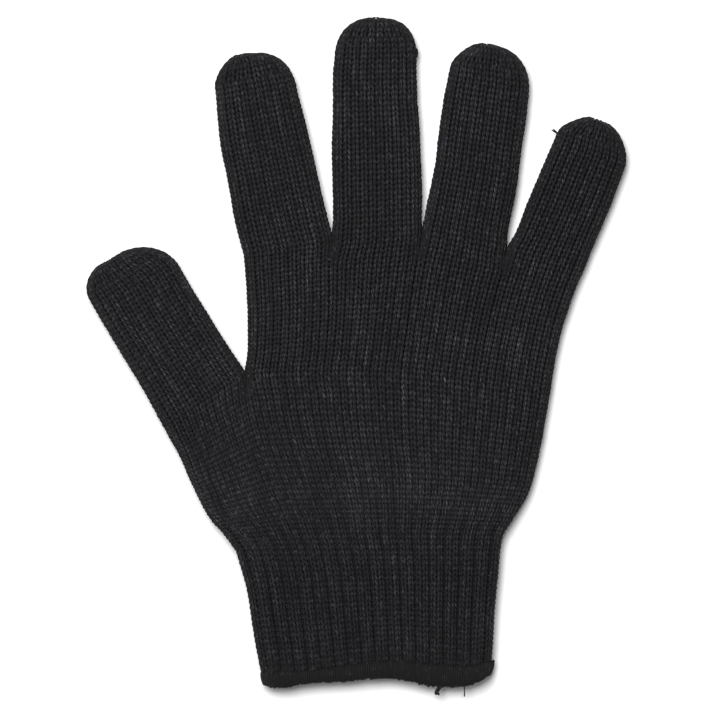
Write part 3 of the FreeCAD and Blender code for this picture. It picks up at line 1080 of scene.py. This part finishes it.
# %% Knit the fingers
BODIES = {"thumb": ("hand", "thumb_base", "thumb_tip"),
          "index": ("hand", "index_base", "index_middle", "index_tip"),
          "middle": ("hand", "middle_base", "middle_middle", "middle_tip"),
          "ring": ("hand", "ring_base", "ring_middle", "ring_tip"),
          "little": ("hand", "little_base", "little_middle", "little_tip")}
FOLDS = {"thumb": ((58, 40), (35.5, 18.5)),
         "index": ((66.5, 48.5), (43, 26), (22.5, 11.5)),
         "middle": ((76, 58), (52, 34), (28, 14)),
         "ring": ((69, 51), (47, 29), (25, 12)),
         "little": ((47.5, 33.5), (31, 18), (16, 7))}
KNUCKLES = {2: ("base_knuckle", "end_knuckle"),
            3: ("base_knuckle", "middle_knuckle", "end_knuckle")}


def knit(name, region, low, high):
    """A piece of knitting with its lining, from one row to another."""
    stitches = [course(region, row) for row in range(low, high)]
    parts = [(points, faces, marks, 0, tone) for points, faces, marks, tone in stitches]
    parts.append((*lining(region, low, high), 1, 0.0))
    piece = make_mesh(name, parts, (knit_finish, lining_finish))
    print(name, "rows", low, "to", high, "triangles", 2 * len(piece.data.polygons))
    return piece


for finger, bodies in BODIES.items():
    region, folds = regions[finger], FOLDS[finger]
    rows, tip = region["rows"], np.array(FINGERS[finger]["tip"])
    cuts = [0]
    for (_, stop), (start, _) in zip(folds, folds[1:]):
        reach = (stop + start) / 2
        cuts.append(int(round(rows - (reach - HALF + QUARTER) / region["pitch"])))
    cuts.append(rows)
    for i, (start, stop) in enumerate(folds):
        piece = knit(f"knit_{bodies[i + 1]}", region, cuts[i], cuts[i + 1])
        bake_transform(piece)
        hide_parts(bodies[i + 1], f"{finger}_{KNUCKLES[len(folds)][i]}")

# %% [markdown]
# The palm and the cuff are knitted in the same way. The heel of the palm and
# the upper part of the cuff, where the wrist bends, have their place baked into
# their mesh and ride on no body, and the other pieces ride on the hand or the
# cuff unbent. They are cut small enough that each one stays a light mesh.

# %% Knit the palm and the cuff
PALM_PIECES = (("knit_palm_heel", "palm_lower", 0, 12, True),
               ("knit_palm_lower", "palm_lower", 12, 23, False),
               ("knit_thumb_root", "palm_lower", 23, LOWER_ROWS, False),
               ("knit_palm_middle", "palm_upper", 0, 13, False),
               ("knit_palm_upper", "palm_upper", 13, UPPER_ROWS, False),
               ("knit_wrist", "cuff", 10, CUFF_ROWS, True),
               ("knit_cuff", "cuff", 0, 10, False))
for name, area, low, high, bends in PALM_PIECES:
    piece = knit(name, regions[area], low, high)
    if bends:
        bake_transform(piece)
    else:
        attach(piece, "cuff" if area == "cuff" else "hand")
    if name in ("knit_palm_lower", "knit_palm_upper"):
        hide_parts(area)
    elif area == "cuff":
        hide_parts("wrist_knit" if bends else "cuff_rib")

# %% [markdown]
# The cuff ends in an overlocked hem: a machine wraps a fluffy thread round and
# round the cut edge until the stitches are covered. The band waves, because the
# elastic pulls it unevenly. It is a region of its own, one row high, between
# the foot line and the top line.

# %% The band of the hem
HEM_SINK = -0.4             # mm from the plain surface in to the middle of the band
HEM_CORNER = 0.75           # 1 makes its section an oval, and less makes fuller corners


def hem_foot(u):
    """The line along the open edge of the glove."""
    return through(HEM_FOOT, u)


def hem_side(end):
    """The short edge of the band, from its foot up to its top."""
    return lambda v: through(np.vstack([hem_foot(end), hem_top(end)]), v)


hem_region = patch_region(
    hem_side(ZERO), hem_side(ONE), hem_foot, [hem_top(ZERO), hem_top(ONE)], (0, CUFF_COLUMNS), 1,
    CUFF_COLUMNS, rib=lambda r: 0 * r, top_line=hem_top)


def rounded_box(angle):
    """Up and out on a flattened ring with full corners, both from -1 to 1."""
    c, t = np.cos(angle), np.sin(angle)
    return np.sign(t) * np.abs(t) ** HEM_CORNER, np.sign(c) * np.abs(c) ** HEM_CORNER


print("hem height at its left end, mm:",
      round(float(np.linalg.norm(hem_top(ZERO) - hem_foot(ZERO))), 1))

# %% [markdown]
# A soft core is made first, so that nothing shows between the wraps. Then one
# long thread is wound round it some two hundred times. Each turn has its own
# thickness and sits a little looser or tighter, as thread from a fast machine
# does.

# %% Core and thread of the hem
HEM_THICK = 0.95            # mm from the middle of the band out to its core's surface
CORE_SIDES = 14
CORE_REACH = 0.47           # share of the band's height, up and down from its middle
HEM_WRAPS, WRAP_STEPS = 210, 12     # turns of the thread, and steps in one turn
WRAP_REACH = 0.5            # the same share for the thread
WRAP_LIFT = 0.2             # mm that the thread stands out of the core
WRAP_LOOSE, WRAP_VARIES = 0.05, 0.14        # how unequal the turns are in reach and size
THREAD_WIDE, THREAD_DEEP = 0.52, 0.34


def hem_core():
    """The soft core of the band."""
    x = np.arange(CUFF_COLUMNS * 2 + 1) / 2
    rings = []
    for angle in np.arange(CORE_SIDES) * 2 * math.pi / CORE_SIDES:
        up, out = rounded_box(angle)
        level = np.full(len(x), 0.5 + CORE_REACH * up)
        rings.append(ring(hem_region, x, level, CUFF_COLUMNS, HEM_SINK + HEM_THICK * out)[0])
    around, count = len(rings[0]), len(rings)
    points = np.stack(rings, 1).reshape(-1, 3)
    i, k = np.arange(around)[:, None], np.arange(count)[None, :]
    j, l = (i + 1) % around, (k + 1) % count
    faces = np.stack([i * count + k, j * count + k, j * count + l, i * count + l], -1)
    faces = faces.reshape(-1, 4)
    return points, faces, np.stack([points[faces.ravel(), 0], points[faces.ravel(), 1]], -1)


def hem_thread():
    """The long thread: over the upper face of the mouth and back under the lower one."""
    steps = HEM_WRAPS * WRAP_STEPS
    walked = np.arange(steps) / steps * 2 * CUFF_COLUMNS
    under = walked > CUFF_COLUMNS
    x = np.where(under, 2 * CUFF_COLUMNS - walked, walked)
    up, out = rounded_box(np.arange(steps) * 2 * math.pi / WRAP_STEPS)
    loose = 1 + np.repeat(chance.normal(0, WRAP_LOOSE, HEM_WRAPS), WRAP_STEPS)
    lines = []
    for r, lift_out in ((0.5 + 0 * up, 0 * out),
                        (0.5 + WRAP_REACH * up * loose, (HEM_THICK + WRAP_LIFT) * out)):
        away = normals(hem_region, x, r, CUFF_COLUMNS)
        point = hem_region["surface"](x, r, CUFF_COLUMNS)
        point = point + away * (HEM_SINK + lift_out + lift(hem_region, x, r, point))[:, None]
        point[under, 2] = 2 * MIDDLE - point[under, 2]
        lines.append(point)
    core_line, wound = lines
    size = 1 + np.repeat(chance.normal(0, WRAP_VARIES, HEM_WRAPS), WRAP_STEPS)
    return tube(wound, wound - core_line, THREAD_WIDE * size, THREAD_DEEP * size)


hem_finish = yarn_finish(
    "hem_thread", (0.0050, 0.0047, 0.0049), (0.0138, 0.0128, 0.0132), (0.03, 0.03, 0.03),
    twists=0.9, bump=0.4)
hem = make_mesh("hem", [(*hem_core(), 1, 0.0), (*hem_thread(), 0, 0.0)],
                (hem_finish, lining_finish))
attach(hem, "cuff")
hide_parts("cuff_hem")
print("hem triangles:", 2 * len(hem.data.polygons))

# %% [markdown]
# Rubber thread is laid in with some rows of the cuff, on the inside, and pulls
# it in round the wrist. Nine plain rings behind the lining show it to anyone who
# looks into the mouth of the glove.

# %% Elastic in the cuff
ELASTIC_RINGS = 9
ELASTIC_FIRST, ELASTIC_GAP = 0.9, 1.3       # rows above the hem, and between two rings
ELASTIC_DEPTH, ELASTIC_RADIUS = 1.5, 0.3    # mm
ELASTIC_SIDES = 6

elastic_finish = yarn_finish(
    "elastic_thread", (0.008, 0.008, 0.008), (0.022, 0.022, 0.022), (0.03, 0.03, 0.03),
    twists=1.2, bump=0.3)
elastic_parts = []
for i in range(ELASTIC_RINGS):
    x = np.arange(2 * CUFF_COLUMNS + 1) / 2
    level = np.full(len(x), ELASTIC_FIRST + ELASTIC_GAP * i)
    path, away = ring(regions["cuff"], x, level, CUFF_COLUMNS, -ELASTIC_DEPTH)
    size = np.full(len(path), ELASTIC_RADIUS)
    elastic_parts.append((*tube(path, away, size, size, sides=ELASTIC_SIDES), 0, 0.0))
elastic = make_mesh("elastic_threads", elastic_parts, (elastic_finish,))
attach(elastic, "cuff")
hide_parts("cuff_elastic")
print("elastic rings:", len(elastic_parts))

# %% [markdown]
# Yarn ends are left where the machine starts and stops: a short tail beside
# three of the fingertips, and the cut ends of the overlock thread at the hem.
# Each is drawn as a smooth path with a round section, and turned into a mesh.
# Three thin plies side by side, opening at the end, look like cut yarn.

# %% One yarn end
END_PLIES = 3
PLY_TURN = 0.9              # how far the plies wind on from one point to the next, radians
PLY_THICK, PLY_APART = 0.85, 0.9    # shares of the end's radius
PLY_FLATTER = 0.6           # the plies spread less along the glove than across it
PATH_SMOOTHNESS, SECTION_SMOOTHNESS = 6, 2


def draw_ply(route, radius, spread, ply):
    """One ply of a yarn end as a mesh; the route is in mm."""
    bpy.ops.curve.primitive_nurbs_path_add()
    strand = bpy.context.object
    line = strand.data.splines[0]
    while len(line.points) < len(route):
        line.points.add(1)
    for i, spot in enumerate(route):
        angle = ply * 2 * math.pi / END_PLIES + i * PLY_TURN
        reach = radius * (PLY_APART + spread * (i / (len(route) - 1)))
        aside = np.array([math.cos(angle), math.sin(angle) * PLY_FLATTER, math.sin(angle)])
        line.points[i].co = (*((np.array(spot, float) + reach * aside) * MM), 1)
    line.use_endpoint_u = True
    strand.data.resolution_u = PATH_SMOOTHNESS
    strand.data.bevel_depth = radius * PLY_THICK * MM
    strand.data.bevel_resolution = SECTION_SMOOTHNESS
    strand.data.use_fill_caps = True
    bpy.ops.object.convert(target="MESH")
    strand = bpy.context.object
    strand.select_set(False)
    return strand


def yarn_end(name, route, radius, spread, body):
    """A cut end of three plies along a route in mm."""
    strands = [draw_ply(route, radius, spread, ply) for ply in range(END_PLIES)]
    for strand in strands:
        strand.select_set(True)
    bpy.context.view_layer.objects.active = strands[0]
    bpy.ops.object.join()
    end = bpy.context.object
    end.name = name
    end.data.name = name
    end.select_set(False)
    if end.data.uv_layers:
        end.data.uv_layers[0].name = "yarn"
    end.data.materials.clear()
    end.data.materials.append(knit_finish)
    end.data.shade_smooth()
    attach(end, body)
    return end


print("plies in a yarn end:", END_PLIES)

# %% [markdown]
# Six ends are drawn, each with its route, its radius, how far its plies open,
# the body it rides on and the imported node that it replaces. The last two are
# trim without a node: a thin thread end that hangs off the hem, and a small
# loop that stands out at its right end.

# %% The yarn ends
ENDS = (
    ("thumb_tail", ((-69.8, 31.8, 5), (-68.6, 33.0, 5.2), (-67.4, 34.0, 5.3),
                    (-66.6, 34.3, 5.2), (-66.0, 33.9, 5.0)),
     0.30, 0.6, "thumb_tip", "thumb_tip_tail"),
    ("middle_tail", ((20.0, 104.6, 5), (21.2, 105.4, 5.2), (22.1, 106.4, 5.4),
                     (22.0, 107.8, 5.3), (21.2, 108.8, 5.2)),
     0.30, 0.5, "middle_tip", "middle_tip_tail"),
    ("little_tail", ((74.6, 76.4, 5), (73.4, 77.4, 5.2), (72.2, 78.0, 5.3),
                     (71.2, 78.8, 5.2), (70.2, 79.8, 5.0)),
     0.26, 0.8, "little_tip", "little_tip_tail"),
    ("hem_knot", ((30.8, -117.0, 8.6), (30.2, -118.5, 8.3), (29.0, -119.6, 7.7),
                  (28.3, -120.8, 7.1), (29.2, -121.2, 6.8)),
     0.50, 0.45, "cuff", "hem_yarn_ends"),
    ("hem_thread_end", ((38.7, -117.0, 8.6), (38.6, -119.0, 8.3), (38.5, -120.4, 8.1),
                        (38.7, -121.4, 8.0), (38.6, -122.1, 7.9)),
     0.15, 0.3, "cuff", None),
    ("hem_loop", ((47.7, -114.4, 5), (48.7, -113.2, 5.2), (48.5, -111.8, 5.3),
                  (49.2, -110.6, 5.2), (49.0, -109.4, 5.0)),
     0.28, 0.5, "cuff", None),
)
for name, route, radius, spread, body, node in ENDS:
    end = yarn_end(name, route, radius, spread, body)
    if node:
        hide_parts(node)
print("yarn ends:", len(ENDS))
